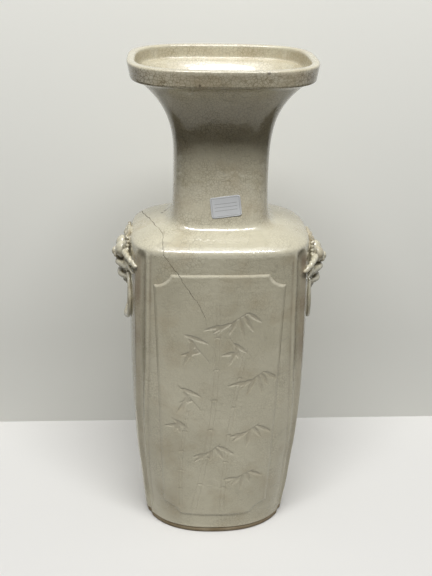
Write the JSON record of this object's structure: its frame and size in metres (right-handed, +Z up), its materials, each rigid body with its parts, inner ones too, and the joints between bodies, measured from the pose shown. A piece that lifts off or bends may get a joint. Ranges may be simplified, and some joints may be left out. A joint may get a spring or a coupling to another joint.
{
  "type": "baluster vase",
  "caption": "Tall crackle-glazed ceramic vase of rounded rectangular section, with fluted corners, raised panels, lion masks with mock rings, a waisted neck and a flaring mouth.",
  "frame": {"origin": "middle of the face that the foot ring stands on", "axes": "+Z up to the mouth, -Y the front with the decorated panel and the label, +X and -X the sides with the masks"},
  "size_m": [0.2534, 0.1688, 0.6],
  "materials": {
    "crackle_glaze": "glossy",
    "unglazed_stoneware": "matte",
    "label_paper": "matte"
  },
  "bodies": {
    "root": {"front_wall": "crackle_glaze", "back_wall": "crackle_glaze", "left_wall": "crackle_glaze", "right_wall": "crackle_glaze", "shoulder": "crackle_glaze", "neck": "crackle_glaze", "mouth_flare": "crackle_glaze", "lip_band": "crackle_glaze", "lion_mask_left": "crackle_glaze", "lion_mask_right": "crackle_glaze", "mock_ring_left": "crackle_glaze", "mock_ring_right": "crackle_glaze", "foot_ring": "unglazed_stoneware", "base_slab": "unglazed_stoneware", "seam_coil_front_left": "unglazed_stoneware", "seam_coil_front_right": "unglazed_stoneware", "seam_coil_back_left": "unglazed_stoneware", "seam_coil_back_right": "unglazed_stoneware", "seam_coil_base": "unglazed_stoneware", "paper_label": "label_paper"}
  },
  "joints": []
}
